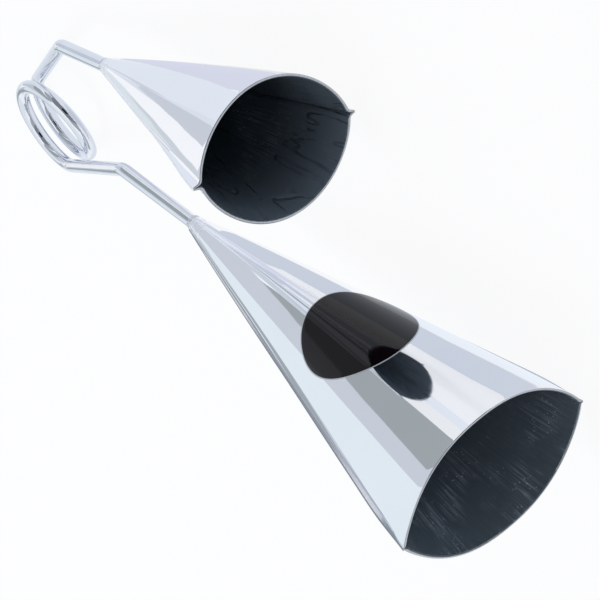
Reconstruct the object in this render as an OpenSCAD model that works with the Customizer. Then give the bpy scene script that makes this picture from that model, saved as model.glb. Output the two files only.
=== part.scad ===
// Double agogo bell: two welded sheet-steel bells on one bent rod with a spring coil.
// It lies on its side, on the lower seam corner of each mouth and on the coil.

/* [Rod] */
// Diameter of the handle rod
rod_d = 7; // [5:0.5:9]
// Mean diameter of the spring coil
coil_mean_d = 47; // [38:1:60]
// Clear gap between two turns of the coil
coil_gap = 3.2; // [1:0.1:6]
// Centre-line radius of the bend in each arm
bend_r = 10; // [8:1:16]
// Large bell's arm, from the coil to its bend
large_grip_len = 73; // [55:1:100]
// Large bell's arm, from its bend to the neck
large_stem_len = 58; // [40:1:80]
// Small bell's arm, from the coil to its bend
small_grip_len = 67; // [55:1:100]
// Small bell's arm, from its bend to the neck
small_stem_len = 46; // [35:1:70]
// How far the rod reaches into each bell
rod_reach = 20; // [12:1:26]

/* [Angles] */
// Bend of the large bell's arm
large_bend = 33; // [20:1:45]
// Bend of the small bell's arm
small_bend = 33; // [20:0.5:45]
// Angle between the axes of the two bells
bell_spread = 16.5; // [12:0.5:24]
// Turn of the small bell about its own axis
small_twist = -13.5; // [-20:0.5:20]
// Tilt of the large bell out of the plane of the rod, where it is welded on
large_tilt = 2.5; // [0:0.5:2.5]
// Tilt of the small bell out of the plane of the rod
small_tilt = 1.5; // [0:0.5:2.5]

/* [Large bell] */
// Length from neck to mouth
large_len = 220; // [160:1:260]
// Mouth width over both seams
large_w = 106; // [90:1:125]
// Mouth height over both half-shells
large_h = 83; // [66:1:94]
// Exponent of the half-shell's curve: a higher one is flatter on top, with a straighter run to the seam
large_flat = 2.3; // [2:0.1:2.8]
// Second exponent of that curve: a higher one is more pointed at the seam
large_point = 0.8; // [0.5:0.05:1]
// Flat lip along each seam, at the mouth
large_lip = 0.6; // [0.4:0.1:3]

/* [Small bell] */
// Length from neck to mouth
small_len = 153; // [110:1:190]
// Mouth width over both seams
small_w = 86; // [74:0.5:100]
// Mouth height over both half-shells
small_h = 68; // [56:1:78]
// Exponent of the half-shell's curve: a higher one is flatter on top, with a straighter run to the seam
small_flat = 2; // [2:0.1:2.8]
// Second exponent of that curve: a higher one is more pointed at the seam
small_point = 0.65; // [0.5:0.05:1]
// Flat lip along each seam, at the mouth
small_lip = 2.3; // [0.4:0.1:4]

/* [Sheet and welds] */
// How much fuller than a straight cone the bells are, as a share of the width
belly = 0.16; // [0:0.02:0.3]
// Thickness of the sheet steel
sheet = 1.2; // [0.8:0.1:1.6]
// Thickness that the sheet is ground to at the neck
neck_wall = 0.6; // [0.4:0.1:1]
// Weld bead that stands out from each seam at the mouth
seam_bead = 0.6; // [0.3:0.1:1]
// Length of the weld at each neck
neck_weld_len = 3; // [2:0.5:6]
// Thickness of the black coat inside
coat = 0.2; // [0.1:0.05:0.4]
// Bare metal left inside the mouth's edge
bare_edge = 0.5; // [0.2:0.1:2]

/* [Badge] */
// Length of the printed badge along the bell
badge_len = 58.5; // [30:0.5:66]
// Width of the printed badge, seen square on
badge_w = 52.5; // [26:0.5:56]
// Thickness of the printed badge
badge_t = 0.15; // [0.1:0.05:0.3]

/* [Hidden] */
$fn = 48;

// Clearances
neck_gap = 0.1;
weld_gap = 0.15;
coat_gap = 0.03;
badge_gap = 0.03;

// Rod and coil
rod_r = rod_d / 2;
coil_r = coil_mean_d / 2;
coil_pitch = rod_d + coil_gap;
// Headings in the plane of the bells, from the large bell's axis
large_stem_heading = 0;
large_grip_heading = large_bend;
small_stem_heading = bell_spread;
small_grip_heading = bell_spread + small_bend;
// The coil winds down from the large arm's tangent point to the small arm's, over one turn and a part
coil_start = large_grip_heading - 90;
coil_end = small_grip_heading - 630;
coil_rise = coil_pitch * (coil_start - coil_end) / 360;
coil_steps = 53;
coil_sides = 12;
arm_sides = 24;
bend_steps = 8;
spring_end = rod_d;

// Neck section, common to both bells
neck_in = rod_r + neck_gap;
neck_out = neck_in + neck_wall;
neck_lip = neck_wall / 3;
neck_lip_t = neck_wall / 2;
neck_bead = neck_wall / 3;
// The sheet's thickness across, measured along the seams' plane, for each unit of thickness
side_share = 1.08;
weld_toe_share = 0.25;
// Facets over a half-shell and round a bead, and steps along the coat
arc_steps = 24;
bead_steps = 6;
coat_steps = 4;
// The coat starts past the rod's end
coat_start_gap = 4;
// Badge: centre along the bell, turn of its middle from square to the seams' plane, and its corners
badge_along_share = 0.594;
badge_turn = 5.5;
badge_points = 48;
badge_reach = 60;

// Bells as [length, mouth width, mouth height, lip, curve's two exponents]
large = [large_len, large_w, large_h, large_lip, [large_flat, large_point]];
small = [small_len, small_w, small_h, small_lip, [small_flat, small_point]];
function bell_len(b) = b[0];
function tip_x(b) = b[1] / 2 - seam_bead;
function mouth_h(b) = b[2] / 2;
function mouth_curve(b) = b[4];

// Sections are lists of [across, out] points: across runs along the seams, out away from their plane
round_curve = [2, 0.5];
function curve_point(a, half_w, h, curve) =
    [half_w * cos(a), h * pow(max(0, 1 - pow(abs(cos(a)), curve[0])), curve[1])];
function lift_angle(lip_t, h, curve) =
    acos(pow(1 - pow(lip_t / h, 1 / curve[1]), 1 / curve[0]));
function curve_line(half_w, h, curve, first = 0) =
    [for (i = [0:arc_steps]) curve_point(first + (180 - 2 * first) * i / arc_steps, half_w, h, curve)];
// Half-width that brings the curve down to the lip's top at the lip's root
function full_half_w(root, lip_t, h, curve) = root / cos(lift_angle(lip_t, h, curve));
function outer_curve(root, lip_t, h, curve) =
    curve_line(full_half_w(root, lip_t, h, curve), h, curve, lift_angle(lip_t, h, curve));
function flip(points) = [for (i = [len(points) - 1:-1:0]) points[i]];
function mix(a, b, k) = a * (1 - k) + b * k;
function place(section, x) = [for (p = section) [x, -p.y, p.x]];
function lipped(tip, lip_t, line) = concat([[tip, 0], [tip, lip_t]], line, [[-tip, lip_t], [-tip, 0]]);

neck_tip = neck_out + neck_lip;
neck_outer = outer_curve(neck_out, neck_lip_t, neck_out, round_curve);
neck_shell = concat(lipped(neck_tip, neck_lip_t, neck_outer),
    flip(curve_line(neck_in, neck_in, round_curve)));
function mouth_outer(b) = outer_curve(tip_x(b) - b[3], sheet, mouth_h(b), mouth_curve(b));
function side_w(b) = full_half_w(tip_x(b) - b[3], sheet, mouth_h(b), mouth_curve(b)) - side_share * sheet;
function mouth_inner(b, off = 0) = curve_line(side_w(b) - off, mouth_h(b) - sheet - off, mouth_curve(b));
function neck_inner(off = 0) = curve_line(neck_in - off, neck_in - off, round_curve);
function mouth_shell(b) = concat(lipped(tip_x(b), sheet, mouth_outer(b)), flip(mouth_inner(b)));
neck_coat = concat(neck_inner(coat_gap), flip(neck_inner(coat_gap + coat)));
function mouth_coat(b) = concat(mouth_inner(b, coat_gap), flip(mouth_inner(b, coat_gap + coat)));
function bead_section(tip, lip_t, bead) =
    [for (i = [0:bead_steps]) let (a = 90 - 180 * i / bead_steps) [tip + bead * cos(a), lip_t * sin(a)]];

// Stations along a bell, as shares of its length: neck, the coat's stretch, mouth
function coat_start(b) = (rod_reach + coat_start_gap) / bell_len(b);
function coat_end(b) = 1 - bare_edge / bell_len(b);
function coat_stations(b) =
    [for (i = [0:coat_steps]) coat_start(b) + (coat_end(b) - coat_start(b)) * i / coat_steps];
function bell_stations(b) = concat([0], coat_stations(b), [1]);
// Growth from neck to mouth, slightly convex
function growth(k) = k + belly * k * (1 - k);

// Points of the rod, in the handle's frame: coil's centre at the origin, large bell along +X
function in_plane(heading) = [cos(heading), sin(heading), 0];
function coil_point(a) =
    [coil_r * cos(a), coil_r * sin(a), coil_pitch * (a - (coil_start + coil_end) / 2) / 360];
function large_bend_point() = coil_point(coil_start) + large_grip_len * in_plane(large_grip_heading);
function small_bend_point() = coil_point(coil_end) + small_grip_len * in_plane(small_grip_heading);
large_neck = large_bend_point() + large_stem_len * in_plane(large_stem_heading);
small_neck = small_bend_point() + small_stem_len * in_plane(small_stem_heading);

// Places on a bell: [along, towards the inner side, up the seam] from its neck
function tilted(p, heading, tilt) =
    let (x = p.x * cos(tilt) - p.z * sin(tilt), z = p.x * sin(tilt) + p.z * cos(tilt))
    x * in_plane(heading) + p.y * in_plane(heading + 90) + [0, 0, z];
function on_large(p) = large_neck + tilted(p, large_stem_heading, large_tilt);
function on_small(p) =
    let (y = p.y * cos(small_twist) - p.z * sin(small_twist))
    let (z = p.y * sin(small_twist) + p.z * cos(small_twist))
    small_neck + tilted([p.x, y, z], small_stem_heading, small_tilt);
function mouth_ring(b) =
    let (edge = place(lipped(b[1] / 2, sheet, mouth_outer(b)), bell_len(b)))
    concat(edge, [for (p = edge) [p.x, -p.y, p.z]]);
large_ring = [for (p = mouth_ring(large)) on_large(p)];
small_ring = [for (p = mouth_ring(small)) on_small(p)];
coil_line = [for (i = [0:coil_steps]) coil_point(coil_start + (coil_end - coil_start) * i / coil_steps)];

// Rest pose: the plane under both lower mouth corners and the lowest part of the coil
large_foot = on_large([large_len, 0, -large_w / 2]);
small_foot = on_small([small_len, 0, -small_w / 2]);
function unit(v) = v / norm(v);
function floor_normal(heel) = let (n = unit(cross(large_foot - heel, small_foot - heel))) n * sign(n.z);
function lowest(points, n) =
    let (low = min([for (p = points) p * n])) [for (p = points) if (p * n == low) p][0];
first_normal = floor_normal(coil_point(coil_end) - [0, 0, rod_r]);
heel = lowest(coil_line, first_normal) - rod_r * first_normal;
up = floor_normal(heel);
tilt = acos(up.z);
tilt_axis = unit(cross(up, [0, 0, 1]));
function turned(p) =
    p * cos(tilt) + cross(tilt_axis, p) * sin(tilt) + tilt_axis * (tilt_axis * p) * (1 - cos(tilt));
coil_turned = [for (p = coil_line) turned(p)];
rings_turned = [for (p = concat(large_ring, small_ring)) turned(p)];
function low_side(i) = min(min([for (p = coil_turned) p[i]]) - rod_r, min([for (p = rings_turned) p[i]]));
function high_side(i) = max(max([for (p = coil_turned) p[i]]) + rod_r, max([for (p = rings_turned) p[i]]));
rest_shift = [-(low_side(0) + high_side(0)) / 2, -(low_side(1) + high_side(1)) / 2, -up * large_foot];
function rested(p) = turned(p) + rest_shift;

module rest_pose() {
    translate(rest_shift)
        rotate(a = tilt, v = tilt_axis)
            children();
}

module at_large_bell() {
    rest_pose()
        translate(large_neck)
            rotate([0, -large_tilt, large_stem_heading])
                children();
}

module at_small_bell() {
    rest_pose()
        translate(small_neck)
            rotate([0, -small_tilt, small_stem_heading])
                rotate([small_twist, 0, 0])
                    children();
}

// Faces of a convex end, and of an end between an outer line and an inner one run backwards,
// where the outer line has some more points at each of its ends
function plain_cap(n) = [[for (i = [0:n - 1]) i]];
function strip_cap(n, lead) =
    let (inner_n = n / 2 - lead, outer_n = n / 2 + lead)
    concat(
        [for (i = [0:1:lead - 1]) [i, i + 1, n - 1]],
        [for (i = [0:inner_n - 2]) let (o = lead + i, q = n - 1 - i)
            for (face = [[o, o + 1, q], [o + 1, q - 1, q]]) face],
        [for (i = [0:1:lead - 1]) [outer_n - 1 - lead + i, outer_n - lead + i, outer_n]]);

// Closed skin through sections of equal point count, each turning the same way about the path
module skin(sections, cap) {
    n = len(sections[0]);
    last = (len(sections) - 1) * n;
    points = [for (s = sections) for (p = s) p];
    sides = [for (s = [0:len(sections) - 2]) for (i = [0:n - 1])
        let (j = (i + 1) % n, a = s * n + i, b = s * n + j)
        for (face = [[a, a + n, b + n], [a, b + n, b]]) face];
    end_cap = [for (face = cap) flip([for (i = face) last + i])];
    polyhedron(points = points, faces = concat(sides, cap, end_cap), convexity = 6);
}

// Skin through the sections at the given stations of a bell
module along_bell(b, stations, at_neck, at_mouth, cap) {
    skin([for (k = stations) place(mix(at_neck, at_mouth, growth(k)), k * bell_len(b))], cap);
}

// Ring of a tube round a point, with two directions square to each other and to the tube
function tube_ring(p, side, over, sides) =
    [for (i = [0:sides - 1]) let (a = 360 * i / sides)
        p + rod_r * (side * cos(a) + over * sin(a))];
function flat_ring(p, heading) = tube_ring(p, in_plane(heading + 90), [0, 0, 1], arm_sides);

// Rod: a straight stretch, a bend to the right and a stem that ends inside the bell
module arm(grip_len, bend, stem_len) {
    setback = bend_r * tan(bend / 2);
    bend_rings = [for (i = [0:bend_steps]) let (a = bend * i / bend_steps)
        flat_ring([grip_len - setback + bend_r * sin(a), bend_r * (cos(a) - 1), 0], -a)];
    stem_end = grip_len * in_plane(0) + (stem_len + rod_reach) * in_plane(-bend);
    skin(concat([flat_ring(spring_end * in_plane(0), 0)], bend_rings, [flat_ring(stem_end, -bend)]),
        plain_cap(arm_sides));
}

function coil_slope() = atan(coil_pitch / (2 * PI * coil_r));
function coil_ring(a) =
    let (out = [cos(a), sin(a), 0], round = [-sin(a), cos(a), 0])
    tube_ring(coil_point(a), out, [0, 0, cos(coil_slope())] - round * sin(coil_slope()), coil_sides);
function end_ring(a, heading) =
    tube_ring(coil_point(a) + spring_end * in_plane(heading), [cos(a), sin(a), 0], [0, 0, 1], coil_sides);
coil_rings = concat(
    [end_ring(coil_start, large_grip_heading)],
    [for (i = [0:coil_steps]) coil_ring(coil_start + (coil_end - coil_start) * i / coil_steps)],
    [end_ring(coil_end, small_grip_heading)]);
half_turn_steps = ceil(coil_steps * 180 / (coil_start - coil_end));
coil_least_gap = min([for (i = [0:coil_steps - half_turn_steps]) for (j = [i + half_turn_steps:coil_steps])
    norm(coil_line[i] - coil_line[j])]) - rod_d;

module large_arm() {
    color([0.82, 0.84, 0.87])
        rest_pose()
            translate(coil_point(coil_start))
                rotate([0, 0, large_grip_heading])
                    arm(large_grip_len, large_bend, large_stem_len);
}

module small_arm() {
    color([0.82, 0.84, 0.87])
        rest_pose()
            translate(coil_point(coil_end))
                rotate([0, 0, small_grip_heading])
                    arm(small_grip_len, small_bend, small_stem_len);
}

module spring_coil() {
    color([0.78, 0.8, 0.84])
        rest_pose()
            skin(coil_rings, plain_cap(coil_sides));
}

// Half-shell on the side away from the other bell; the inner one is its mirror image
module half_shell(b) {
    color([0.84, 0.86, 0.9])
        along_bell(b, bell_stations(b), neck_shell, mouth_shell(b), strip_cap(len(neck_shell), 2));
}

module half_coat(b) {
    color([0.07, 0.09, 0.11])
        along_bell(b, coat_stations(b), neck_coat, mouth_coat(b), strip_cap(len(neck_coat), 0));
}

module seam_weld(b) {
    color([0.7, 0.72, 0.76])
        along_bell(b, bell_stations(b), bead_section(neck_tip, neck_lip_t, neck_bead),
            bead_section(tip_x(b), sheet, seam_bead), plain_cap(bead_steps + 1));
}

module neck_weld() {
    color([0.6, 0.62, 0.66])
        rotate([0, 90, 0])
            rotate_extrude()
                polygon([[rod_r + weld_gap, -neck_weld_len], [rod_r + weld_gap, 0], [neck_out, 0],
                    [rod_r + weld_gap + weld_toe_share * neck_wall, -neck_weld_len]]);
}

module inner_side() {
    mirror([0, 1, 0])
        children();
}

module lower_side() {
    mirror([0, 0, 1])
        children();
}

module large_inner_shell() { at_large_bell() inner_side() half_shell(large); }
module large_outer_shell() { at_large_bell() half_shell(large); }
module small_inner_shell() { at_small_bell() half_shell(small); }
module small_outer_shell() { at_small_bell() inner_side() half_shell(small); }
module large_inner_coat() { at_large_bell() inner_side() half_coat(large); }
module large_outer_coat() { at_large_bell() half_coat(large); }
module small_inner_coat() { at_small_bell() half_coat(small); }
module small_outer_coat() { at_small_bell() inner_side() half_coat(small); }
module large_upper_seam_weld() { at_large_bell() seam_weld(large); }
module large_lower_seam_weld() { at_large_bell() lower_side() seam_weld(large); }
module small_upper_seam_weld() { at_small_bell() seam_weld(small); }
module small_lower_seam_weld() { at_small_bell() lower_side() seam_weld(small); }
module large_neck_weld() { at_large_bell() neck_weld(); }
module small_neck_weld() { at_small_bell() neck_weld(); }

// Outer curve moved out by a distance, without its first and last points
function moved_out(line, off) =
    [for (i = [1:arc_steps - 1]) let (t = unit(line[i + 1] - line[i - 1])) line[i] + off * [t.y, -t.x]];
function badge_band(line) =
    concat(moved_out(line, badge_gap + badge_t), flip(moved_out(line, badge_gap)));

module badge() {
    color([0.05, 0.05, 0.06])
        at_large_bell()
            inner_side()
                intersection() {
                    along_bell(large, bell_stations(large), badge_band(neck_outer),
                        badge_band(mouth_outer(large)), strip_cap(len(badge_band(neck_outer)), 0));
                    translate([badge_along_share * large_len, 0, 0])
                        rotate([90 + badge_turn, 0, 0])
                            linear_extrude(badge_reach)
                                polygon([for (i = [0:badge_points - 1]) let (a = 360 * i / badge_points)
                                    [badge_len / 2 * cos(a), badge_w / 2 * sin(a)]]);
                }
}

echo(coil_least_gap = coil_least_gap);
echo(coil_centre = rested([0, 0, 0]), coil_axis = turned([0, 0, 1]));
function direction(from, to) = turned(unit(to - from));
echo(plane_x = turned([1, 0, 0]), plane_y = turned([0, 1, 0]));
echo(large_neck = rested(large_neck), large_mouth = rested(on_large([large_len, 0, 0])));
echo(large_axis = direction(large_neck, on_large([large_len, 0, 0])),
    large_seam = direction(large_neck, on_large([0, 0, 1])), large_side = direction(large_neck, on_large([0, 1, 0])));
echo(small_neck = rested(small_neck), small_mouth = rested(on_small([small_len, 0, 0])));
echo(small_axis = direction(small_neck, on_small([small_len, 0, 0])),
    small_seam = direction(small_neck, on_small([0, 0, 1])), small_side = direction(small_neck, on_small([0, 1, 0])));

large_arm();
spring_coil();
small_arm();
large_inner_shell();
large_outer_shell();
small_inner_shell();
small_outer_shell();
large_upper_seam_weld();
large_lower_seam_weld();
small_upper_seam_weld();
small_lower_seam_weld();
large_neck_weld();
small_neck_weld();
large_inner_coat();
large_outer_coat();
small_inner_coat();
small_outer_coat();
badge();
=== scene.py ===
import math

import bpy
from mathutils import Matrix, Vector


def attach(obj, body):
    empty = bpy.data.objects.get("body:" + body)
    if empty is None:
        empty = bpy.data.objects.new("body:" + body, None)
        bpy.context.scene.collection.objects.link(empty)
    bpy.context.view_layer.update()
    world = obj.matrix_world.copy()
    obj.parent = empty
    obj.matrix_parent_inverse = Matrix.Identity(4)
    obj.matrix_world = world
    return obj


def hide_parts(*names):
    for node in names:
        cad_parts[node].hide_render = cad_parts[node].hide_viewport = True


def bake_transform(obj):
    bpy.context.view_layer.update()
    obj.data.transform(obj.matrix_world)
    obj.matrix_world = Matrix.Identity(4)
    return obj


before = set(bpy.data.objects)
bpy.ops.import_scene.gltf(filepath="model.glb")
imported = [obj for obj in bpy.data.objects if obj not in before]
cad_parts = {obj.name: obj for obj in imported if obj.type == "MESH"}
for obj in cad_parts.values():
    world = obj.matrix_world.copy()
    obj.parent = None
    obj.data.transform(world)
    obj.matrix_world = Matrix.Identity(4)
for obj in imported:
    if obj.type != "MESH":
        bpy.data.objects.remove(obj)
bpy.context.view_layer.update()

MM = 0.001

# ---------------------------------------------------------------- sizes, in millimetres
ROD_R = 3.5
COIL_R = 23.5
COIL_PITCH = 10.2
COIL_START, COIL_END = -57.0, -580.5
BEND_R = 10.0
LARGE_GRIP, LARGE_STEM, LARGE_HEADING = 73.0, 58.0, 33.0
SMALL_GRIP, SMALL_STEM, SMALL_HEADING = 67.0, 46.0, 49.5
ARM_BEND = 33.0
ROD_REACH = 20.0
SPRING_END = 7.0
SHEET = 1.2
SIDE_SHARE = 1.08
NECK_IN, NECK_OUT = 3.6, 4.2
NECK_TIP, NECK_LIP_T = 4.4, 0.3
NECK_WELD_LEN = 3.0
WELD_GAP = 0.15
SEAM_BEAD, NECK_BEAD = 0.6, 0.2
COAT, COAT_GAP, COAT_START, BARE_EDGE = 0.2, 0.03, 24.0, 0.5
BELLY = 0.16
BADGE_LEN, BADGE_W, BADGE_T, BADGE_GAP = 58.5, 52.5, 0.15, 0.03
BADGE_ALONG, BADGE_TURN = 0.594 * 220.0, 5.5  # the first as a share of the large bell's length
RIM_ROUND = 0.35
TURN_RUN, TURN_OUT = 3.0, 0.08
INNER_EAR_STEPS, EAR_SHARE, EAR_WALL = 4, 0.8, 0.7
THIN = 0.62  # the lip's thickness at its edge, as a share of the sheet
HALF_ROUND = 150  # about the way round one half at the mouth, which the uv's first value covers
ROD_ROUND = 22  # the way round the rod
# The photograph's camera, fitted to it: its width and focal length in pixels, and its place in millimetres
PHOTO_PX, FOCAL_PX, SENSOR = 600, 2706.163, 36.0
CAMERA_PLACE = Vector((761.124, 824.672, 610.0))

# The two bells: where the neck is, and the directions along the bell, up its seams and out of its sides
LARGE = {
    "neck": Vector((-32.8679, -44.8579, 30.3736)),
    "along": Vector((0.995118, -0.0126009, 0.0978869)),
    "seam": Vector((-0.0985727, -0.176179, 0.97941)),
    "side": Vector((-0.00490412, 0.984278, 0.176561)),
    "length": 220.0, "width": 106.0, "height": 83.0, "lip": 0.6, "curve": (2.3, 0.8), "ear_steps": 0,
    # Offsets in millimetres at each tenth of the length, for the seam above and the one below: how far the welded
    # edge lies past a plain bell, and how far the form beside it lies inside one, over the last part of its
    # half-width. They were fitted to the outline in the photograph; the solids keep the plain bell
    "upper": ((0.0, -0.1, -0.3, -0.4, -0.5, -0.5, -0.2, 0.25, 0.8, 1.4, 0.7),
              (0.0, 0.5, 0.8, 1.0, 1.0, 0.9, 0.7, 0.5, 0.2, -0.3, -0.9)),
    "lower": ((0.0, -0.1, -0.2, -0.3, -0.3, -0.2, 0.0, 0.25, 0.6, 1.0, -0.2),
              (0.0, 0.5, 0.8, 1.0, 1.0, 0.9, 0.7, 0.5, 0.2, 0.0, 0.0)),
    "draw_from": 0.85, "draw_bend": 2,
}
SMALL = {
    "neck": Vector((-94.519, 16.3592, 22.8241)),
    "along": Vector((0.954191, 0.270132, 0.128641)),
    "seam": Vector((-0.145163, 0.0420187, 0.988515)),
    "side": Vector((-0.261624, 0.961906, -0.0793071)),
    "length": 153.0, "width": 86.0, "height": 68.0, "lip": 2.3, "curve": (2.0, 0.65), "ear_steps": 2,
    "upper": ((0.0, -0.7, -1.2, -1.6, -1.8, -1.9, -1.7, -1.1, -0.3, 0.8, 1.3),
              (0.0, 0.3, 0.55, 0.7, 0.8, 0.85, 0.8, 0.7, 0.5, 0.3, 0.0)),
    "lower": ((0.0, -0.7, -1.2, -1.6, -1.8, -1.9, -1.7, -1.1, -0.4, 0.2, 0.0),
              (0.0, 0.3, 0.55, 0.7, 0.8, 0.85, 0.8, 0.7, 0.5, 0.3, 0.0)),
    "draw_from": 0.0, "draw_bend": 1,
}
ROUND = (2.0, 0.5)

# The rod's own frame: the coil's centre, the plane of the two arms and the coil's axis
COIL_CENTRE = Vector((-164.181, -62.6357, 12.2745))
PLANE_X = Vector((0.99847, -0.00490412, 0.0550724))
PLANE_Y = Vector((-0.00490412, 0.984278, 0.176561))
COIL_AXIS = Vector((-0.0550724, -0.176561, 0.982748))


# ---------------------------------------------------------------- outlines of the pressed sheet
def curve_point(angle, half_w, height, curve):
    c = math.cos(math.radians(angle))
    return (half_w * c, height * max(0.0, 1 - abs(c) ** curve[0]) ** curve[1])


def lift_angle(lip_t, height, curve):
    return math.degrees(math.acos((1 - (lip_t / height) ** (1 / curve[1])) ** (1 / curve[0])))


def full_half_w(root, lip_t, height, curve):
    return root / math.cos(math.radians(lift_angle(lip_t, height, curve)))


def curve_line(half_w, height, curve, first=0.0):
    steps = 96
    return [curve_point(first + (180 - 2 * first) * i / steps, half_w, height, curve) for i in range(steps + 1)]


def mixed(a, b, k):
    return [(p[0] * (1 - k) + q[0] * k, p[1] * (1 - k) + q[1] * k) for p, q in zip(a, b)]


def moved(line, off):
    """The line moved out by a distance, square to itself."""
    out = []
    for i, p in enumerate(line):
        a, b = line[max(i - 1, 0)], line[min(i + 1, len(line) - 1)]
        t = Vector((b[0] - a[0], b[1] - a[1])).normalized()
        out.append((p[0] + off * t.y, p[1] - off * t.x))
    return out


def eased(start, corner, line, steps):
    """The line with its first points swept in one soft curve from start, past corner, to its own point at steps."""
    goal = line[steps]
    new = []
    for i in range(steps):
        t = i / steps
        new.append(tuple(s * (1 - t) ** 2 + 2 * c * t * (1 - t) + g * t * t for s, c, g in zip(start, corner, goal)))
    return new + line[steps:]


def both_ends(line, start, corner, steps):
    """The same sweep at both seams of a half."""
    line = eased(start, corner, line, steps)[::-1]
    return eased((-start[0], start[1]), (-corner[0], corner[1]), line, steps)[::-1]


def outer_lines(bell):
    """Outer outline at the neck and at the mouth, lips included. The sheet sweeps out into each lip in a small
    hollow curve."""
    lines = []
    for tip, root, lip_t, height, curve in (
            (NECK_TIP, NECK_OUT, NECK_LIP_T, NECK_OUT, ROUND),
            (bell["width"] / 2 - SEAM_BEAD, bell["width"] / 2 - SEAM_BEAD - bell["lip"], SHEET, bell["height"] / 2,
             bell["curve"])):
        half_w = full_half_w(root, lip_t, height, curve)
        line = curve_line(half_w, height, curve, lift_angle(lip_t, height, curve))
        line = both_ends(line, (root + EAR_SHARE * (tip - root), lip_t * (1 - EAR_SHARE * (1 - THIN))), (root, lip_t),
                         bell["ear_steps"])
        lines.append([(tip, 0.0), (tip, THIN * lip_t)] + line + [(-tip, THIN * lip_t), (-tip, 0.0)])
    return lines


def inner_lines(bell, off=0.0):
    """Inner outline at the neck and at the mouth, where the hollow runs out to a thin edge between the two lips."""
    tip = bell["width"] / 2 - SEAM_BEAD
    half_w = full_half_w(tip - bell["lip"], SHEET, bell["height"] / 2, bell["curve"]) - SIDE_SHARE * SHEET
    line = curve_line(half_w - off, bell["height"] / 2 - SHEET - off, bell["curve"])
    line = both_ends(line, (tip - EAR_WALL - 2 * off, 0.0), (half_w + EAR_WALL / 2 - off, 0.35), INNER_EAR_STEPS)
    return curve_line(NECK_IN - off, NECK_IN - off, ROUND), line


def growth(k):
    return k + BELLY * k * (1 - k)


def by_tenths(values, k):
    """A soft curve through values that stand at each tenth of the length."""
    x = min(max(k, 0.0), 1.0) * (len(values) - 1)
    i = min(int(x), len(values) - 2)
    t = x - i
    a, b, c, d = (values[min(max(n, 0), len(values) - 1)] for n in (i - 1, i, i + 1, i + 2))
    return b + 0.5 * t * (c - a + t * (2 * a - 5 * b + 4 * c - d + t * (3 * (b - c) + d - a)))


def beside_seam(bell, k, across):
    """The place across the bell, moved by the offsets that were fitted to the seams' outline."""
    g = growth(k)
    tip = NECK_TIP * (1 - g) + (bell["width"] / 2 - SEAM_BEAD) * g
    root = NECK_OUT * (1 - g) + (bell["width"] / 2 - SEAM_BEAD - bell["lip"]) * g
    flare, draw = (by_tenths(values, k) for values in bell["upper" if across > 0 else "lower"])
    u = abs(across)
    if u >= tip:
        u += flare
    elif u >= root:
        u = root - draw + (u - root) / (tip - root) * (tip + flare - root + draw)
    elif u > bell["draw_from"] * root:
        u -= draw * ((u / root - bell["draw_from"]) / (1 - bell["draw_from"])) ** bell["draw_bend"]
    return math.copysign(u, across)


def on_bell(bell, side, along, across, out):
    """A point in the row frame, in metres. side is 1 for the half that lies along the bell's side direction, and
    -1 for the other."""
    if along > 0:
        across = beside_seam(bell, along / bell["length"], across)
    return (bell["neck"] + bell["along"] * along + bell["seam"] * across + bell["side"] * (side * out)) * MM


# ---------------------------------------------------------------- meshes
def make_piece(name, points, faces, finishes, uv=None, sharp=35.0, other_finish=None):
    """A smooth-shaded piece with uv values for each point. other_finish gives a face's finish where it isn't the
    first."""
    mesh = bpy.data.meshes.new(name)
    mesh.from_pydata([tuple(p) for p in points], [], faces)
    if uv:
        layer = mesh.uv_layers.new(name="lay")
        for loop in mesh.loops:
            layer.data[loop.index].uv = uv[loop.vertex_index]
    for finish in finishes:
        mesh.materials.append(finish)
    for face, finish in (other_finish or {}).items():
        mesh.polygons[face].material_index = finish
    mesh.shade_smooth()
    mesh.set_sharp_from_angle(angle=math.radians(sharp))
    piece = bpy.data.objects.new(name, mesh)
    bpy.context.scene.collection.objects.link(piece)
    return piece


def ring_faces(rings, count):
    """Four-sided faces between closed rings of points that lie one after another."""
    faces = []
    for r in range(rings - 1):
        for i in range(count):
            j = (i + 1) % count
            faces.append((r * count + i, (r + 1) * count + i, (r + 1) * count + j, r * count + j))
    return faces


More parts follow.
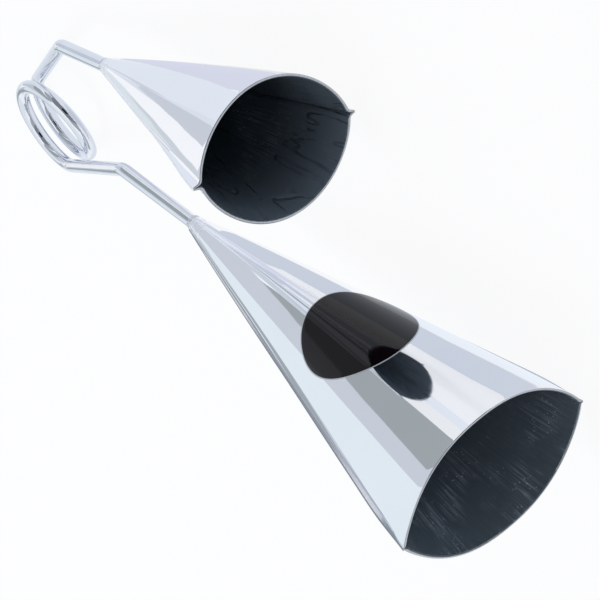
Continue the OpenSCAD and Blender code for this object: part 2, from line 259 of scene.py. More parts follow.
def shell(name, bell, side, finishes):
    """One pressed half: its outer and inner faces, the lips at both seams and the rounded edge of the mouth."""
    neck_outer, mouth_outer = outer_lines(bell)
    neck_inner, mouth_inner = inner_lines(bell)
    length = bell["length"]
    # The sheet turns out a little over the last millimetres, as a sheared and dressed edge would. The last two
    # stations lie close together, so that the shading turns over the edge and not before it
    stations = [i / 44 for i in range(44)]
    stations += [1 - x / length for x in (TURN_RUN, 2.5, 2.0, 1.6, 1.2, 0.8, RIM_ROUND + 0.15, RIM_ROUND)]
    rings = []
    for k in stations:
        g = growth(k)
        turn = TURN_OUT * max(0.0, 1 - (1 - k) * length / TURN_RUN) ** 2
        rings.append((k * length, moved(mixed(neck_outer, mouth_outer, g), turn), mixed(neck_inner, mouth_inner, g)))
    outer, inner = rings[-1][1:]
    for j in range(1, 5):
        a = math.radians(90 * j / 4)
        off = RIM_ROUND * (1 - math.cos(a))
        rings.append((length - RIM_ROUND + RIM_ROUND * math.sin(a), moved(outer, -off), moved(inner, off)))
    points, uv = [], []
    count, inner_count = len(neck_outer), len(neck_inner)
    total = count + inner_count
    for x, out_line, in_line in rings:
        for i, (across, out) in enumerate(out_line + in_line[::-1]):
            points.append(on_bell(bell, side, x, across, max(out, 0.0)))
            uv.append(((i if i < count else total - 1 - i) / count, x * MM))
    faces = ring_faces(len(rings), total)
    rim_start = (len(rings) - 4) * total
    # Faces across the sheet at the neck and at the mouth's edge
    lead = (count - inner_count) // 2
    for base in (0, (len(rings) - 1) * total):
        cap = [(base + lead + i, base + lead + i + 1, base + total - 2 - i,
                base + total - 1 - i) for i in range(inner_count - 1)]
        for i in range(lead):
            cap.append((base + i, base + i + 1, base + total - 1))
            cap.append((base + count - 1 - lead + i, base + count - lead + i, base + count))
        faces += [f if base == 0 else f[::-1] for f in cap]
    # The edge of the mouth is filed metal, with a finish of its own on its inner corner
    edge = {i: 1 if min(f) >= rim_start + 3 * total or min(v % total for v in f) < count else 2
            for i, f in enumerate(faces) if min(f) >= rim_start}
    # So do the lips beside the seams
    for i in range((len(rings) - 5) * total):
        if 1 <= i % total <= 1 + bell["ear_steps"] or 1 <= count - 2 - i % total <= 1 + bell["ear_steps"]:
            edge[i] = 3
    if side > 0:
        faces = [f[::-1] for f in faces]
    return make_piece(name, points, faces, finishes, uv, other_finish=edge)


def lining(name, bell, side, finish):
    """The paint inside one half."""
    neck_near, mouth_near = inner_lines(bell, COAT_GAP)
    neck_far, mouth_far = inner_lines(bell, COAT_GAP + COAT)
    length = bell["length"]
    first, last = COAT_START / length, 1 - BARE_EDGE / length
    stations = [first + (last - first) * i / 36 for i in range(37)]
    count = len(neck_near)
    total = 2 * count
    points, uv = [], []
    for k in stations:
        g = growth(k)
        loop = mixed(neck_near, mouth_near, g) + mixed(neck_far, mouth_far, g)[::-1]
        for i, (across, out) in enumerate(loop):
            points.append(on_bell(bell, side, k * length, across, out))
            uv.append(((i if i < count else total - 1 - i) / count + (0.0 if side > 0 else 1.7), k * length * MM))
    faces = ring_faces(len(stations), total)
    for base in (0, (len(stations) - 1) * total):
        cap = [(base + i, base + i + 1, base + total - 2 - i, base + total - 1 - i) for i in range(count - 1)]
        faces += [f if base == 0 else f[::-1] for f in cap]
    if side > 0:
        faces = [f[::-1] for f in faces]
    return make_piece(name, points, faces, [finish], uv)


def seam_bead(name, bell, way, finish):
    """The weld bead along one seam, ground round."""
    tip = bell["width"] / 2 - SEAM_BEAD
    rings, sides = 90, 12
    points = []
    for r in range(rings + 1):
        k = r / rings
        g = growth(k)
        at, lip_t, bead = (a * (1 - g) + b * g for a,
                           b in ((NECK_TIP, tip), (NECK_LIP_T, SHEET), (NECK_BEAD, SEAM_BEAD)))
        for i in range(sides + 1):
            a = math.radians(90 - 180 * i / sides)
            points.append(on_bell(bell, 1, k * bell["length"], way * (at + bead * math.cos(a)),
                                  THIN * lip_t * math.sin(a)))
    count = sides + 1
    faces = ring_faces(rings + 1, count)
    faces += [tuple(range(count)), tuple(reversed(range(rings * count, (rings + 1) * count)))]
    if way > 0:
        faces = [f[::-1] for f in faces]
    return make_piece(name, points, faces, [finish])


def neck_bead(name, bell, phase, finish):
    """The weld between a bell's neck and the rod: a collar of overlapping puddles that runs down onto the rod."""
    inner_r = ROD_R + WELD_GAP
    around, steps = 96, 14
    points = []
    for i in range(around):
        w = 2 * math.pi * i / around
        puddle = abs(math.sin(4 * w + phase)) * 0.5 + abs(math.sin(7 * w + 2 * phase)) * 0.3
        reach = NECK_WELD_LEN * (0.62 + 0.38 * puddle)
        for j in range(steps + 1):
            t = j / steps
            swell = math.sin(math.pi * t) ** 0.7
            r = inner_r + 0.06 + (NECK_OUT - inner_r - 0.06) * (1 - t) ** 0.8 + 0.12 * swell * puddle * (1 - t)
            points.append(on_bell(bell, 1, -reach * t, min(r, NECK_OUT) * math.cos(w), min(r, NECK_OUT) * math.sin(w)))
        points.append(on_bell(bell, 1, -reach, inner_r * math.cos(w), inner_r * math.sin(w)))
        points.append(on_bell(bell, 1, 0.0, inner_r * math.cos(w), inner_r * math.sin(w)))
    count = steps + 3
    faces = []
    for i in range(around):
        n = (i + 1) % around
        for j in range(count):
            m = (j + 1) % count
            faces.append((i * count + j, i * count + m, n * count + m, n * count + j))
    return make_piece(name, points, faces, [finish], sharp=50.0)


def tube(name, path, finish):
    """The round rod along a path of (point, side direction) steps, in the row frame and millimetres."""
    sides = 32
    points, uv = [], []
    length = 0.0
    for n, (p, side) in enumerate(path):
        a, b = path[max(n - 1, 0)][0], path[min(n + 1, len(path) - 1)][0]
        length += (p - path[max(n - 1, 0)][0]).length
        t = (b - a).normalized()
        u = (side - t * side.dot(t)).normalized()
        v = t.cross(u)
        for i in range(sides):
            w = 2 * math.pi * i / sides
            points.append((p + (u * math.cos(w) + v * math.sin(w)) * ROD_R) * MM)
            uv.append((i / sides, length * MM))
    faces = [f[::-1] for f in ring_faces(len(path), sides)]
    faces += [tuple(reversed(range(sides))), tuple(range((len(path) - 1) * sides, len(path) * sides))]
    return make_piece(name, points, faces, [finish], uv)


def heading(degrees):
    a = math.radians(degrees)
    return PLANE_X * math.cos(a) + PLANE_Y * math.sin(a)


def coil_point(angle):
    return (COIL_CENTRE + heading(angle) * COIL_R
            + COIL_AXIS * (COIL_PITCH * (angle - (COIL_START + COIL_END) / 2) / 360))


def arm_path(start, first, bend, grip, stem):
    """Straight grip, bend to the right and a stem that ends inside the bell."""
    corner = start + heading(first) * grip
    setback = BEND_R * math.tan(math.radians(bend / 2))
    steps = [start + heading(first) * x for x in (SPRING_END, SPRING_END + 12, grip / 2)]
    centre = corner - heading(first) * setback + heading(first - 90) * BEND_R
    steps += [centre - heading(first - bend * i / 24 - 90) * BEND_R for i in range(25)]
    end = corner + heading(first - bend) * (stem + ROD_REACH)
    bend_end = steps[-1]
    steps += [bend_end.lerp(end, x) for x in (0.2, 0.6, 1.0)]
    return [(p, COIL_AXIS) for p in steps]


def badge_place(x, across_turned):
    """The point on the large bell's inner half, and the way square to it, that lies under a place of the flat badge."""
    t = math.radians(BADGE_TURN)
    g = growth(x / LARGE["length"])
    neck, mouth = outer_lines(LARGE)
    line = mixed(neck, mouth, g)
    # Along the outline, the turned distance falls all the way from the upper seam to the lower one
    turned = [p[0] * math.cos(t) + p[1] * math.sin(t) for p in line]
    for i in range(2, len(line) - 2):
        if turned[i + 1] <= across_turned <= turned[i]:
            f = (turned[i] - across_turned) / (turned[i] - turned[i + 1])
            a, b = line[i], line[i + 1]
            way = []
            for p, q in ((line[i - 1], line[i + 1]), (line[i], line[i + 2])):
                d = Vector((q[0] - p[0], q[1] - p[1])).normalized()
                way.append(Vector((d.y, -d.x)))
            return Vector((a[0] + (b[0] - a[0]) * f, a[1] + (b[1] - a[1]) * f)), way[0].lerp(way[1], f).normalized()
    raise ValueError("the badge runs past the bell")


def badge(name, finish):
    """A plain oval transfer that follows the bell."""
    rings, around = 26, 120
    points, uv = [], []
    for layer_off in (BADGE_GAP + BADGE_T, BADGE_GAP):
        for r in range(rings + 1):
            for i in range(around):
                w = 2 * math.pi * i / around
                share = r / rings
                edge = max(0.0, share - 0.985) / 0.015 if layer_off > BADGE_GAP else 0.0
                x = BADGE_ALONG + BADGE_LEN / 2 * share * math.cos(w)
                p, way = badge_place(x, BADGE_W / 2 * share * math.sin(w))
                p = p + way * (layer_off - 0.4 * BADGE_T * edge)
                points.append(on_bell(LARGE, 1, x, p.x, p.y))
                uv.append((share, i / around))
    layer = (rings + 1) * around
    top = ring_faces(rings + 1, around)
    bottom = [tuple(layer + v for v in f[::-1]) for f in top]
    skirt = [(rings * around + i, layer + rings * around + i, layer + rings * around + (i + 1) % around,
              rings * around + (i + 1) % around)
             for i in range(around)]
    return make_piece(name, points, top + bottom + skirt, [finish], uv, sharp=40.0)


# ---------------------------------------------------------------- finishes
def linear(hex_colour):
    """An sRGB hex value as linear red, green, blue and one for alpha."""
    parts = [int(hex_colour[i:i + 2], 16) / 255 for i in (1, 3, 5)]
    return [c / 12.92 if c <= 0.04045 else ((c + 0.055) / 1.055) ** 2.4 for c in parts] + [1.0]


def new_finish(name):
    material = bpy.data.materials.new(name)
    material.use_nodes = True
    material.node_tree.nodes.clear()
    return material, material.node_tree


def add(tree, kind, settings=None, links=None):
    """Adds a node, sets its properties and sockets by name or number, and links its sockets."""
    node = tree.nodes.new(kind)
    for name, value in (settings or {}).items():
        if isinstance(name, str) and name not in node.inputs:
            setattr(node, name, value)
        else:
            node.inputs[name].default_value = value
    for name, source in (links or {}).items():
        tree.links.new(source, node.inputs[name])
    return node


def chrome_on_sheet():
    """Bright chrome over nickel on pressed sheet steel: a mirror with the faint swell of the pressed and
    ground sheet under it, hair-fine polishing lines along the bell and a trace of haze."""
    material, tree = new_finish("chrome_on_pressed_sheet")
    place = add(tree, "ShaderNodeTexCoord")
    swell = add(tree, "ShaderNodeTexNoise", {"Scale": 1 / 0.034, "Detail": 1.0, "Roughness": 0.35},
                {"Vector": place.outputs["Object"]})
    peel = add(tree, "ShaderNodeTexNoise", {"Scale": 1 / 0.0016, "Detail": 1.0}, {"Vector": place.outputs["Object"]})
    lay = add(tree, "ShaderNodeMapping", {"Scale": (HALF_ROUND / 0.8, 1 / 0.070, 1.0)}, {"Vector": place.outputs["UV"]})
    lines = add(tree, "ShaderNodeTexNoise", {"Scale": 1.0, "Detail": 2.0, "Roughness": 0.6}, {"Vector": lay.outputs[0]})
    low = add(tree, "ShaderNodeBump", {"Strength": 1.0, "Distance": 0.00005}, {"Height": swell.outputs[0]})
    fine = add(tree, "ShaderNodeBump", {"Strength": 1.0, "Distance": 0.0000004},
               {"Height": peel.outputs[0], "Normal": low.outputs[0]})
    haze = add(tree, "ShaderNodeMapRange", {"From Min": 0.35, "From Max": 0.75, "To Min": 0.015, "To Max": 0.07},
               {"Value": lines.outputs[0]})
    tone = add(tree, "ShaderNodeMix", {"data_type": "RGBA", 6: linear("#f8f9fc"), 7: linear("#f2f4f8")},
               {0: swell.outputs[0]})
    # Spatter and grinding scars within a centimetre of the neck weld
    along = add(tree, "ShaderNodeSeparateXYZ", links={0: place.outputs["UV"]})
    by_neck = add(tree, "ShaderNodeMapRange", {"From Min": 0.012, "From Max": 0.002}, {"Value": along.outputs[1]})
    pits = add(tree, "ShaderNodeTexNoise", {"Scale": 1 / 0.0022, "Detail": 3.0, "Roughness": 0.7},
               {"Vector": place.outputs["Object"]})
    pit = add(tree, "ShaderNodeMapRange", {"From Min": 0.50, "From Max": 0.62}, {"Value": pits.outputs[0]})
    scar = add(tree, "ShaderNodeMath", {"operation": "MULTIPLY"}, {0: by_neck.outputs[0], 1: pit.outputs[0]})
    scarred = add(tree, "ShaderNodeBump", {"Strength": 1.0, "Distance": 0.00022},
                  {"Height": scar.outputs[0], "Normal": fine.outputs[0]})
    shader = add(tree, "ShaderNodeBsdfPrincipled", {"Metallic": 1.0},
                 {"Base Color": tone.outputs[2], "Roughness": haze.outputs[0], "Normal": scarred.outputs[0]})
    add(tree, "ShaderNodeOutputMaterial", links={"Surface": shader.outputs[0]})
    return material


def chrome_on_rod():
    """Bright chrome on drawn round bar: a mirror with faint die lines along it and a slight ripple from the bending."""
    material, tree = new_finish("chrome_on_drawn_rod")
    place = add(tree, "ShaderNodeTexCoord")
    lay = add(tree, "ShaderNodeMapping", {"Scale": (ROD_ROUND / 0.6, 1 / 0.050, 1.0)}, {"Vector": place.outputs["UV"]})
    lines = add(tree, "ShaderNodeTexNoise", {"Scale": 1.0, "Detail": 2.0}, {"Vector": lay.outputs[0]})
    ripple = add(tree, "ShaderNodeTexNoise", {"Scale": 1 / 0.007, "Detail": 1.0}, {"Vector": place.outputs["Object"]})
    bent = add(tree, "ShaderNodeBump", {"Strength": 1.0, "Distance": 0.000014}, {"Height": ripple.outputs[0]})
    drawn = add(tree, "ShaderNodeBump", {"Strength": 1.0, "Distance": 0.0000015},
                {"Height": lines.outputs[0], "Normal": bent.outputs[0]})
    haze = add(tree, "ShaderNodeMapRange", {"From Min": 0.35, "From Max": 0.75, "To Min": 0.02, "To Max": 0.09},
               {"Value": lines.outputs[0]})
    tone = add(tree, "ShaderNodeMix", {"data_type": "RGBA", 6: linear("#f2f4f9"), 7: linear("#e6e9ef")},
               {0: ripple.outputs[0]})
    shader = add(tree, "ShaderNodeBsdfPrincipled", {"Metallic": 1.0},
                 {"Base Color": tone.outputs[2], "Roughness": haze.outputs[0], "Normal": drawn.outputs[0]})
    add(tree, "ShaderNodeOutputMaterial", links={"Surface": shader.outputs[0]})
    return material


def chrome_on_weld():
    """Chrome over weld metal: the ripples of the bead show as fine bright and dark bars, a little duller than the
    sheet."""
    material, tree = new_finish("chrome_on_weld_bead")
    place = add(tree, "ShaderNodeTexCoord")
    lumps = add(tree, "ShaderNodeTexVoronoi", {"Scale": 1 / 0.0016}, {"Vector": place.outputs["Object"]})
    grit = add(tree, "ShaderNodeTexNoise", {"Scale": 1 / 0.0007, "Detail": 3.0}, {"Vector": place.outputs["Object"]})
    puddle = add(tree, "ShaderNodeBump", {"Strength": 1.0, "Distance": 0.00045}, {"Height": lumps.outputs["Distance"]})
    rough = add(tree, "ShaderNodeBump", {"Strength": 1.0, "Distance": 0.00003},
                {"Height": grit.outputs[0], "Normal": puddle.outputs[0]})
    haze = add(tree, "ShaderNodeMapRange", {"To Min": 0.05, "To Max": 0.22}, {"Value": grit.outputs[0]})
    tone = add(tree, "ShaderNodeMix", {"data_type": "RGBA", 6: linear("#f0f2f6"), 7: linear("#c3c7ce")},
               {0: grit.outputs[0]})
    shader = add(tree, "ShaderNodeBsdfPrincipled", {"Metallic": 1.0},
                 {"Base Color": tone.outputs[2], "Roughness": haze.outputs[0], "Normal": rough.outputs[0]})
    add(tree, "ShaderNodeOutputMaterial", links={"Surface": shader.outputs[0]})
    return material


def dressed_metal(name, light, dark, low_haze, high_haze, height):
    """Plated metal that was filed, hammered or ground first: fine marks spread what it mirrors into a soft grey. On the
    large bell's lips and seams its given tones are darker than the plate's: painted shade.
    """
    material, tree = new_finish(name)
    place = add(tree, "ShaderNodeTexCoord")
    marks = add(tree, "ShaderNodeTexNoise", {"Scale": 1 / 0.0009, "Detail": 3.0}, {"Vector": place.outputs["Object"]})
    dressed = add(tree, "ShaderNodeBump", {"Strength": 1.0, "Distance": height}, {"Height": marks.outputs[0]})
    haze = add(tree, "ShaderNodeMapRange", {"To Min": low_haze, "To Max": high_haze}, {"Value": marks.outputs[0]})
    tone = add(tree, "ShaderNodeMix", {"data_type": "RGBA", 6: linear(light), 7: linear(dark)}, {0: marks.outputs[0]})
    shader = add(tree, "ShaderNodeBsdfPrincipled", {"Metallic": 1.0},
                 {"Base Color": tone.outputs[2], "Roughness": haze.outputs[0], "Normal": dressed.outputs[0]})
    add(tree, "ShaderNodeOutputMaterial", links={"Surface": shader.outputs[0]})
    return material


def black_enamel(name, dark, light, streak, dust, mouth_painted_light, fold_height):
    """Black enamel brushed inside a bell: slate where it catches light, with paler strokes along the bell where
    the brush ran dry, folds where the coat sagged, and specks of dust that dried in. mouth_painted_light makes it
    paler over the last 4 cm, a share fitted to the photograph: whether paint or light does it there isn't known. The
    mouth share adds a paler tone over the last 4 cm toward the mouth, a share fitted to the photograph: painted
    light, where the painted shade deep inside the bell lifts."""
    material, tree = new_finish(name)
    place = add(tree, "ShaderNodeTexCoord")
    # Strokes about 1 mm wide and 30 mm long, on a half that is about 150 mm round
    lay = add(tree, "ShaderNodeMapping", {"Scale": (HALF_ROUND / 1.1, 1 / 0.030, 1.0)}, {"Vector": place.outputs["UV"]})
    strokes = add(tree, "ShaderNodeTexNoise", {"Scale": 1.0, "Detail": 5.0, "Roughness": 0.7},
                  {"Vector": lay.outputs[0]})
    patch = add(tree, "ShaderNodeTexNoise", {"Scale": 1 / 0.022, "Detail": 3.0}, {"Vector": place.outputs["Object"]})
    where = add(tree, "ShaderNodeMapRange", {"From Min": 0.48, "From Max": 0.66}, {"Value": patch.outputs[0]})
    pale = add(tree, "ShaderNodeMapRange", {"From Min": 0.48, "From Max": 0.70}, {"Value": strokes.outputs[0]})
    pale_here = add(tree, "ShaderNodeMath", {"operation": "MULTIPLY"}, {0: where.outputs[0], 1: pale.outputs[0]})
    ground = add(tree, "ShaderNodeMix", {"data_type": "RGBA", 6: linear(dark), 7: linear(light)},
                 {0: strokes.outputs[0]})
    tone = add(tree, "ShaderNodeMix", {"data_type": "RGBA", 7: linear(streak)},
               {0: pale_here.outputs[0], 6: ground.outputs[2]})
    # Folds about 12 mm apart, wandering along the bell
    run = add(tree, "ShaderNodeMapping", {"Scale": (HALF_ROUND / 16.0, 1 / 0.070, 1.0)},
              {"Vector": place.outputs["UV"]})
    sag = add(tree, "ShaderNodeTexNoise", {"Scale": 1.0, "Detail": 2.0, "Distortion": 0.8}, {"Vector": run.outputs[0]})
    middle = add(tree, "ShaderNodeMath", {"operation": "SUBTRACT", 1: 0.5}, {0: sag.outputs[0]})
    far = add(tree, "ShaderNodeMath", {"operation": "ABSOLUTE"}, {0: middle.outputs[0]})
    ridge = add(tree, "ShaderNodeMapRange", {"From Min": 0.0, "From Max": 0.035, "To Min": 1.0, "To Max": 0.0},
                {"Value": far.outputs[0]})
    here = add(tree, "ShaderNodeMapRange", {"From Min": 0.50, "From Max": 0.42}, {"Value": patch.outputs[0]})
    fold = add(tree, "ShaderNodeMath", {"operation": "MULTIPLY"}, {0: here.outputs[0], 1: ridge.outputs[0]})
    specks = add(tree, "ShaderNodeTexVoronoi", {"Scale": 1 / 0.0022}, {"Vector": place.outputs["Object"]})
    dot = add(tree, "ShaderNodeMapRange", {"From Min": 0.08, "From Max": 0.20, "To Min": 1.0, "To Max": 0.0},
              {"Value": specks.outputs["Distance"]})
    dusty = add(tree, "ShaderNodeMath", {"operation": "MULTIPLY"}, {0: where.outputs[0], 1: dot.outputs[0]})
    specked = add(tree, "ShaderNodeMix", {"data_type": "RGBA", 7: linear(dust)},
                  {0: dusty.outputs[0], 6: tone.outputs[2]})
    # Painted light: a paler tone is added over the last 4 cm toward the mouth, where the painted shade deep inside the
    # bell lifts
    along = add(tree, "ShaderNodeSeparateXYZ", links={0: place.outputs["UV"]})
    painted_light_by_mouth = add(tree, "ShaderNodeMapRange", {"From Min": 0.108, "From Max": 0.152, "To Max": mouth_painted_light},
                   {"Value": along.outputs[1]})
    painted_light_added = add(tree, "ShaderNodeMix", {"data_type": "RGBA", "blend_type": "ADD", 7: linear("#535b64")},
                 {0: painted_light_by_mouth.outputs[0], 6: specked.outputs[2]})
    brushed = add(tree, "ShaderNodeBump", {"Strength": 1.0, "Distance": 0.00008}, {"Height": strokes.outputs[0]})
    folded = add(tree, "ShaderNodeBump", {"Strength": 1.0, "Distance": fold_height},
                 {"Height": fold.outputs[0], "Normal": brushed.outputs[0]})
    dusted = add(tree, "ShaderNodeBump", {"Strength": 1.0, "Distance": 0.00025},
                 {"Height": dusty.outputs[0], "Normal": folded.outputs[0]})
    gloss = add(tree, "ShaderNodeMapRange", {"From Min": 0.3, "From Max": 0.7, "To Min": 0.30, "To Max": 0.48},
                {"Value": strokes.outputs[0]})
    shader = add(tree, "ShaderNodeBsdfPrincipled", {"IOR": 1.5},
                 {"Base Color": painted_light_added.outputs[2], "Roughness": gloss.outputs[0], "Normal": dusted.outputs[0]})
    add(tree, "ShaderNodeOutputMaterial", links={"Surface": shader.outputs[0]})
    return material


def oval_transfer():
    """A plain screen-printed transfer under clear lacquer: brown-black ink with a hair-thin pale margin, and the
    lacquer's sharp reflections over it."""
    material, tree = new_finish("lacquered_ink_transfer")
    place = add(tree, "ShaderNodeTexCoord")
    ink = add(tree, "ShaderNodeTexNoise", {"Scale": 1 / 0.0035, "Detail": 3.0}, {"Vector": place.outputs["Object"]})
    tone = add(tree, "ShaderNodeMix", {"data_type": "RGBA", 6: linear("#060306"), 7: linear("#0f090d")},
               {0: ink.outputs[0]})
    share = add(tree, "ShaderNodeSeparateXYZ", links={0: place.outputs["UV"]})
    margin = add(tree, "ShaderNodeMapRange", {"From Min": 0.982, "From Max": 0.986}, {"Value": share.outputs[0]})
    both = add(tree, "ShaderNodeMix", {"data_type": "RGBA", 7: linear("#b9bcc2")},
               {0: margin.outputs[0], 6: tone.outputs[2]})
    swell = add(tree, "ShaderNodeTexNoise", {"Scale": 1 / 0.034, "Detail": 1.0, "Roughness": 0.35},
                {"Vector": place.outputs["Object"]})
    low = add(tree, "ShaderNodeBump", {"Strength": 1.0, "Distance": 0.00005}, {"Height": swell.outputs[0]})
    haze = add(tree, "ShaderNodeMapRange", {"To Min": 0.03, "To Max": 0.09}, {"Value": ink.outputs[0]})
    shader = add(tree, "ShaderNodeBsdfPrincipled", {"IOR": 1.4},
                 {"Base Color": both.outputs[2], "Roughness": haze.outputs[0], "Normal": low.outputs[0]})
    add(tree, "ShaderNodeOutputMaterial", links={"Surface": shader.outputs[0]})
    return material


plate, rod_chrome, bead_chrome = chrome_on_sheet(), chrome_on_rod(), chrome_on_weld()
# The mouth's edge is taken as sheared and filed, the lips beside the seams as hammered flat and the welds as ground
# flush. Lips and seams are toned darker on the large bell alone, painted shade for the dark outline that the photograph
# shows only there. Lips and seams are duller on the large bell alone, because the photograph shows a dark outline only
# there; the cause may be what they mirror. The two enamels' tones were fitted to the photograph one by one
edge_metal = dressed_metal("filed_mouth_edge", "#cfd3d9", "#a4a8ae", 0.18, 0.42, 0.00003)
# Painted shade: the large bell's lips and seams are toned darker than the plate
lip_chrome_painted_dark = dressed_metal("chrome_on_hammered_lip_painted_dark", "#dfe2ea", "#cfd3dc", 0.10, 0.22, 0.00001)
seam_chrome_painted_dark = dressed_metal("chrome_on_ground_seam_painted_dark", "#a9aeb8", "#8f959f", 0.14, 0.30, 0.00002)
thin_enamel = black_enamel("thin_brushed_enamel", "#414b54", "#56626c", "#98a5b0", "#b4bfc8", 0.0, 0.0002)
# The small bell's enamel is drawn darker than the large bell's: painted shade deep inside it, lifted toward its mouth
# by painted light
thick_enamel_painted_shade = black_enamel("thick_sagged_enamel_painted_shade", "#283138", "#3a444e", "#66727d", "#78848f", 0.8, 0.0009)
print_ink = oval_transfer()

# ---------------------------------------------------------------- the two bells
for size, bell, inner_way, phase, enamel, lap, seam_finish in (
        ("large", LARGE, 1, 0.4, thin_enamel, thin_enamel, seam_chrome_painted_dark),
        ("small", SMALL, -1, 1.9, thick_enamel_painted_shade, edge_metal, plate)):
    body = size + "_side"
    for part, way in (("inner", inner_way), ("outer", -inner_way)):
        half = shell(f"{size}_{part}_half", bell, way,
                     [plate, edge_metal, lap, lip_chrome_painted_dark if seam_finish is seam_chrome_painted_dark else plate])
        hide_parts(f"{size}_{part}_shell")
        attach(half, body)
        inside = lining(f"{size}_{part}_lining", bell, way, enamel)
        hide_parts(f"{size}_{part}_coat")
        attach(inside, body)
    for part, way in (("upper", 1), ("lower", -1)):
        bead = seam_bead(f"{size}_{part}_seam", bell, way, seam_finish)
        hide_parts(f"{size}_{part}_seam_weld")
        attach(bead, body)
    collar = neck_bead(f"{size}_neck_bead", bell, phase, bead_chrome)
    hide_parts(f"{size}_neck_weld")
    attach(collar, body)

oval = badge("oval_badge", print_ink)
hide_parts("badge")
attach(oval, "large_side")

# ---------------------------------------------------------------- the rod
large_rod = tube("large_bell_arm", arm_path(coil_point(COIL_START), LARGE_HEADING, ARM_BEND, LARGE_GRIP, LARGE_STEM),
                 rod_chrome)
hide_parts("large_arm")
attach(large_rod, "large_side")
small_rod = tube("small_bell_arm", arm_path(coil_point(COIL_END), SMALL_HEADING, ARM_BEND, SMALL_GRIP, SMALL_STEM),
                 rod_chrome)
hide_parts("small_arm")
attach(small_rod, "small_side")

coil_steps = 180
coil_path = [coil_point(COIL_START) + heading(LARGE_HEADING) * x for x in (SPRING_END, SPRING_END / 2)]
coil_path += [coil_point(COIL_START + (COIL_END - COIL_START) * i / coil_steps) for i in range(coil_steps + 1)]
coil_path += [coil_point(COIL_END) + heading(SMALL_HEADING) * x for x in (SPRING_END / 2, SPRING_END)]
coil = tube("coil_spring", [(p, COIL_AXIS) for p in coil_path], rod_chrome)
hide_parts("spring_coil")
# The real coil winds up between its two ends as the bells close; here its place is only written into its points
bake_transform(coil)


# ---------------------------------------------------------------- studio
def stage_sheet(name, points, faces, material):
    mesh = bpy.data.meshes.new(name)
    mesh.from_pydata(points, [], faces)
    mesh.materials.append(material)
    sheet = bpy.data.objects.new(name, mesh)
    bpy.context.scene.collection.objects.link(sheet)
    return sheet


def white_where_seen(tree, camera_share, mirror_share):
    """How much of the plain white shows: one share to the camera, one to metal and glass, none to soft light."""
    ray = add(tree, "ShaderNodeLightPath")
    mirror = add(tree, "ShaderNodeMath", {"operation": "MAXIMUM"},
                 {0: ray.outputs["Is Glossy Ray"], 1: ray.outputs["Is Transmission Ray"]})
    seen = add(tree, "ShaderNodeMath", {"operation": "MULTIPLY", 1: camera_share}, {0: ray.outputs["Is Camera Ray"]})
    mirrored = add(tree, "ShaderNodeMath", {"operation": "MULTIPLY", 1: mirror_share}, {0: mirror.outputs[0]})
    return add(tree, "ShaderNodeMath", {"operation": "MAXIMUM"}, {0: seen.outputs[0], 1: mirrored.outputs[0]})


def backing_paper():
    """White backing paper: white to the camera and in the metal, with the object's soft shadow kept."""
    material, tree = new_finish("white_backing_paper")
    share = white_where_seen(tree, 0.9, 0.62)
    matt = add(tree, "ShaderNodeBsdfDiffuse", {"Color": linear("#ebf1f8")})
    white = add(tree, "ShaderNodeEmission", {"Color": linear("#ffffff"), "Strength": 1.0})
    both = add(tree, "ShaderNodeMixShader", links={0: share.outputs[0], 1: matt.outputs[0], 2: white.outputs[0]})
    add(tree, "ShaderNodeOutputMaterial", links={"Surface": both.outputs[0]})
    return material


def card(name, colour, points, faces):
    """A plain card that only the metal sees. The bands on the chrome are these cards, placed so that the metal
    mirrors them from the photograph's camera as it does there. From other sides they stand for nothing real."""
    material, tree = new_finish(name)
    tone = add(tree, "ShaderNodeEmission", {"Color": linear(colour), "Strength": 1.0})
    add(tree, "ShaderNodeOutputMaterial", links={"Surface": tone.outputs[0]})
    sheet = stage_sheet(name, points, faces, material)
    sheet.visible_camera = sheet.visible_diffuse = sheet.visible_shadow = False
    return sheet


def hung_card(name, colour, one_edge, other_edge, distance=2.2):
    """A card hung round the object, between two edges of (turn from +X, height above level) pairs in degrees."""
    points = []
    for az, el in one_edge + other_edge:
        a, e = math.radians(az), math.radians(el)
        points.append((distance * math.cos(e) * math.cos(a), distance * math.cos(e) * math.sin(a),
                       0.04 + distance * math.sin(e)))
    n = len(one_edge)
    return card(name, colour, points, [(i, i + 1, n + i + 1, n + i) for i in range(n - 1)])


def laid_card(name, colour, one_edge, other_edge, height=0.5):
    """A card laid on the floor, between two edges in millimetres."""
    points = [(x * MM, y * MM, height * MM) for x, y in one_edge + other_edge]
    n = len(one_edge)
    return card(name, colour, points, [(i, i + 1, n + i + 1, n + i) for i in range(n - 1)])


stage_sheet("floor", [(-3, -3, 0), (3, -3, 0), (3, 3, 0), (-3, 3, 0)], [(0, 1, 2, 3)], backing_paper())
hung_card("pale_blue_card", "#e7f0f6",
          [(186, 62), (186, 42), (180, 31), (182, 20), (198, 18), (231, 16), (300, 16)],
          [(186, 75), (188, 75), (190, 75), (192, 75), (198, 75), (231, 75), (300, 75)], 2.3)
hung_card("lavender_card", "#cdd2db",
          [(186.5, -1), (182, 1.5), (150, 4), (151.5, 9), (155, 18), (162, 31), (165, 42), (168, 66)],
          [(187, -1), (189, 0.5), (190.5, 5), (191.5, 9), (184, 18), (182, 31), (189, 42), (196, 66)])
hung_card("grey_card", "#a2a9ad",
          [(168, 66), (165, 42), (162, 31), (155, 18), (151.5, 9), (149, 6)],
          [(110, 66), (125, 48), (125, 34), (128, 22), (133, 14), (140, 9)])
hung_card("side_card", "#c8ced5",
          [(197, 17), (203, 14), (210, 10), (216, 7.5), (220, 6), (224, 5), (231, 4)],
          [(197, 23.2), (203, 24), (210, 22.8), (215.5, 22.5), (219.5, 22), (224.5, 20.5), (231, 17.5)])
hung_card("dark_strip", "#a4abb1",
          [(213, 12), (218, 6), (222, 9), (226, 6.5), (231, 6)],
          [(213.5, 18), (217, 18), (221, 17), (225, 14), (231, 13.5)], 2.15)
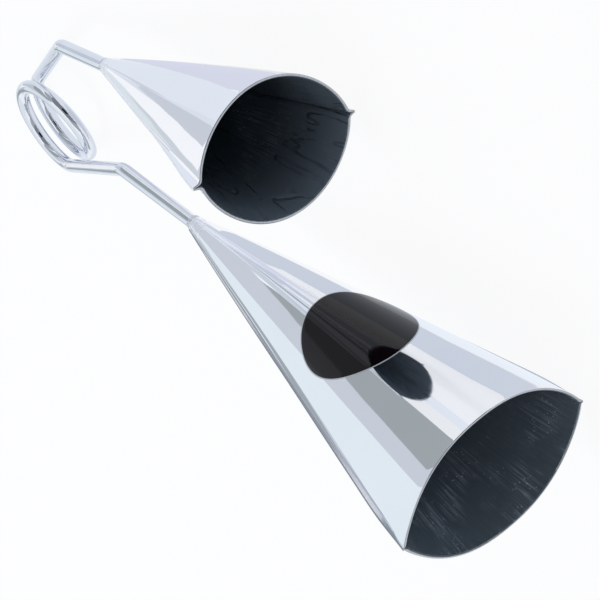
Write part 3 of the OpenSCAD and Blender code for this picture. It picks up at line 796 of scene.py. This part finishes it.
hung_card("low_card", "#e0e7ed",
          [(194, -1), (203, -1), (212, -1), (222, -1), (240, -1)],
          [(194.5, 0.5), (203, 6), (208, 8.5), (217, 9.5), (240, 6)], 2.22)
hung_card("low_strip", "#d0d6dd",
          [(201, 3), (205, 4.2), (211, 4), (217, 3)],
          [(201, 5), (205, 7.6), (209, 8.6), (218, 8)], 2.15)
laid_card("large_floor_card", "#cfd5e1",
          [(-150, -30), (-85, 8), (-60, 24), (-20, 5), (20, 8), (60, 12), (88, 19), (120, 22), (150, 19), (176, 6)],
          [(-120, -75), (-60, -15), (-32, -43), (5, -38), (42, -32), (79, -27), (100, -24.5), (116, -22), (150, -21),
           (174, -19)])
laid_card("under_card", "#fdfeff",
          [(-60, -16), (-32, -44), (5, -39), (42, -33), (70, -29)], [(-60, -80), (-32, -85), (5, -90), (42, -95),
                                                                     (70, -98)], 0.4)
laid_card("under_mouth_card", "#eff5fd",
          [(70, -29), (79, -28), (116, -23), (150, -22), (190, -20)], [(70, -98), (79, -98), (116, -100), (150, -100),
                                                                       (190, -100)], 0.4)
laid_card("small_floor_card", "#daddec",
          [(-118, 14), (-108, 30), (-102, 42), (-97, 56), (-91, 70), (-96, 84), (-60, 98), (10, 98)],
          [(-106, 2), (-88, 11), (-64, 26), (-54, 33), (-43, 41), (-21, 51.5), (-3, 61), (20, 75)])
laid_card("far_floor_card", "#e6ecf5",
          [(-135, -250), (-128, 20), (-109, 31), (-102, 42), (-97, 56), (-91, 70), (-96, 84), (-100, 120),
           (-160, 400), (-200, 2500)],
          [(-2600, -900), (-2600, 20), (-2600, 31), (-2600, 42), (-2600, 56), (-2600, 70), (-2600, 84), (-2600, 120),
           (-2600, 400), (-2600, 2500)], 0.3)
laid_card("floor_strip", "#d3d7e0",
          [(-225, -2), (-440, -32), (-1190, -85), (-2200, -170)], [(-225, -12), (-440, -52), (-1190, -140),
                                                                   (-2200, -300)], 1.0)
hung_card("horizon_card", "#eff1f3", [(120, -1), (130, -1), (145, -1)], [(124, 14), (135, 11), (145, 7.5)])
hung_card("horizon_end_card", "#cdd4de", [(145, -1), (149, -1), (156, -1)], [(145, 7.5), (150, 5), (156, 3)])
hung_card("skyline_card", "#e0e6ef", [(156, -1.2), (170, -1.2), (181, -1.2), (192, -1.2)],
          [(156, 6), (170, 6), (181, 6), (189, 6)], 2.3)
hung_card("room_card", "#a9adb4",
          [(-20, 4), (20, 4), (60, 4), (100, 4), (120, 4)], [(-20, 62), (20, 62), (60, 62), (100, 62), (120, 62)], 2.6)
laid_card("front_floor_card", "#70747b", [(80, 135), (-60, 300), (-500, 900), (-900, 1500)],
          [(500, 135), (900, 300), (1500, 900), (2500, 1500)])
hung_card("curtain_card", "#7f838a", [(12, 0), (40, 0), (68, 0), (96, 0)], [(12, 66), (40, 66), (68, 66), (96, 66)],
          2.55)
hung_card("stand_card", "#36383c", [(36, 0), (58, 0), (80, 0)], [(40, 50), (58, 50), (76, 50)], 2.5)
hung_card("lens_card", "#0e0f12", [(41, 14), (51, 14), (61, 14)], [(41, 42), (51, 42), (61, 42)], 2.0)
hung_card("far_side_card", "#a9adb4", [(286, -1), (315, -1), (344, -1)], [(286, 24), (315, 24), (344, 24)], 2.4)

world = bpy.data.worlds.new("studio")
world.use_nodes = True
bpy.context.scene.world = world
tree = world.node_tree
tree.nodes.clear()
seen = white_where_seen(tree, 1.0, 1.0)
strength = add(tree, "ShaderNodeMapRange", {"To Min": 0.72, "To Max": 1.0}, {"Value": seen.outputs[0]})
sky = add(tree, "ShaderNodeBackground", {"Color": linear("#fbfcff")}, {"Strength": strength.outputs[0]})
add(tree, "ShaderNodeOutputWorld", links={"Surface": sky.outputs[0]})


def soft_box(name, place, size, energy):
    data = bpy.data.lights.new(name, "AREA")
    data.shape = "RECTANGLE"
    data.size, data.size_y = size
    data.energy = energy
    lamp = bpy.data.objects.new(name, data)
    lamp.location = place
    lamp.visible_glossy = False
    lamp.rotation_euler = (Vector((0, 0, 0)) - Vector(place)).to_track_quat("-Z", "Y").to_euler()
    bpy.context.scene.collection.objects.link(lamp)


soft_box("soft_box", (-0.3, -0.9, 1.5), (0.9, 0.9), 9.0)

# ---------------------------------------------------------------- camera, at the photograph's place
camera_data = bpy.data.cameras.new("camera")
camera_data.sensor_width = SENSOR
camera_data.lens = SENSOR * FOCAL_PX / PHOTO_PX
camera_data.clip_start, camera_data.clip_end = 0.05, 20.0
camera = bpy.data.objects.new("camera", camera_data)
right = Vector((0.6877072, -0.0897185, -0.7204231))
down = Vector((0.4540591, -0.7211400, 0.5232471))
ahead = Vector((-0.5664708, -0.6869554, -0.4551957))
turn = Matrix((right, -down, -ahead)).transposed()
camera.matrix_world = Matrix.Translation(CAMERA_PLACE * MM) @ turn.to_4x4()
bpy.context.scene.collection.objects.link(camera)
bpy.context.scene.camera = camera
bpy.context.scene.view_settings.view_transform = "Standard"
